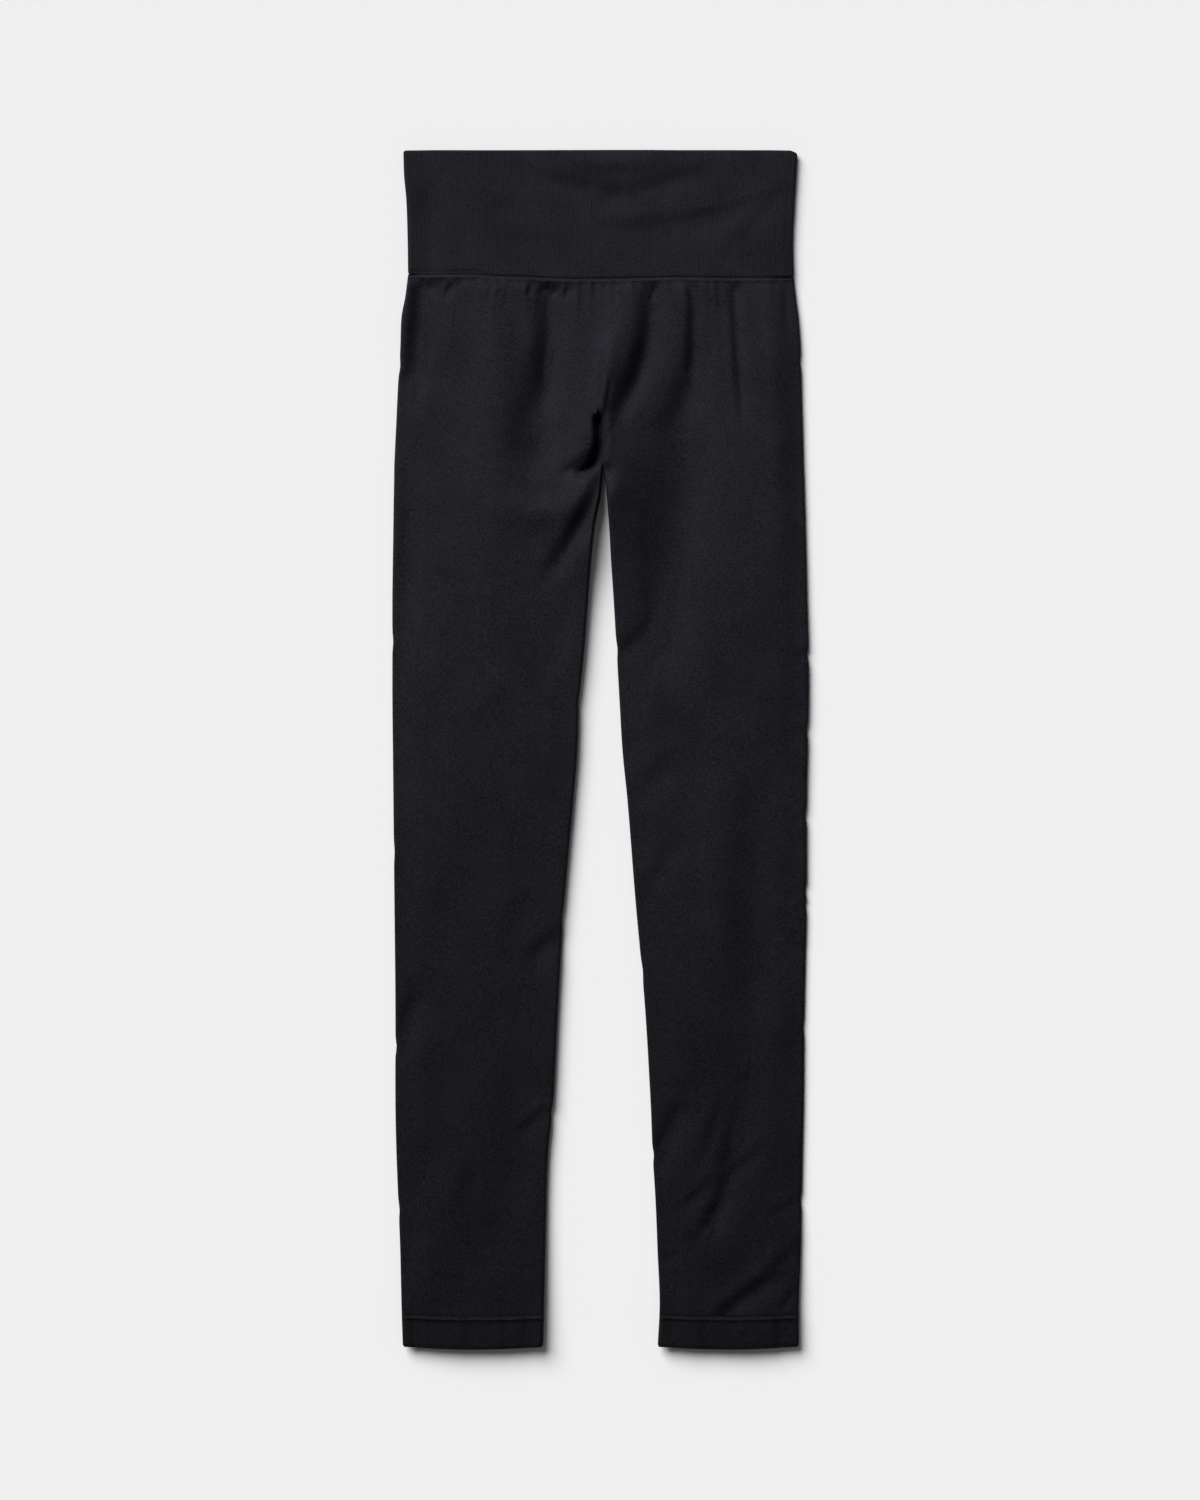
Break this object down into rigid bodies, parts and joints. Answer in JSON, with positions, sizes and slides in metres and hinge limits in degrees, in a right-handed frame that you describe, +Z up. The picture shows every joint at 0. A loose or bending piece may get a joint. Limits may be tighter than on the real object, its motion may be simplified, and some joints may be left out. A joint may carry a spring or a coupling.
{
  "type": "leggings",
  "caption": "Seamless knitted leggings with a high ribbed waistband, laid flat on their back, with soft folds at the crotch and stitched hems.",
  "frame": {"origin": "middle of the garment's box, on the surface that it lies on", "axes": "+X across the garment to its right as seen from above, +Y along it from the hems to the waist, +Z up from the surface"},
  "size_m": [0.3329, 0.957, 0.0228],
  "materials": {
    "rib_knit": "black one-by-one rib knit, matt",
    "jersey": "black fine jersey knit with a faint speckle, matt",
    "hem_knit": "black jersey turned up double and stitched, matt"
  },
  "bodies": {
    "root": {"waistband": "rib_knit", "left_leg": "jersey", "right_leg": "jersey", "left_hem": "hem_knit", "right_hem": "hem_knit"}
  },
  "joints": []
}
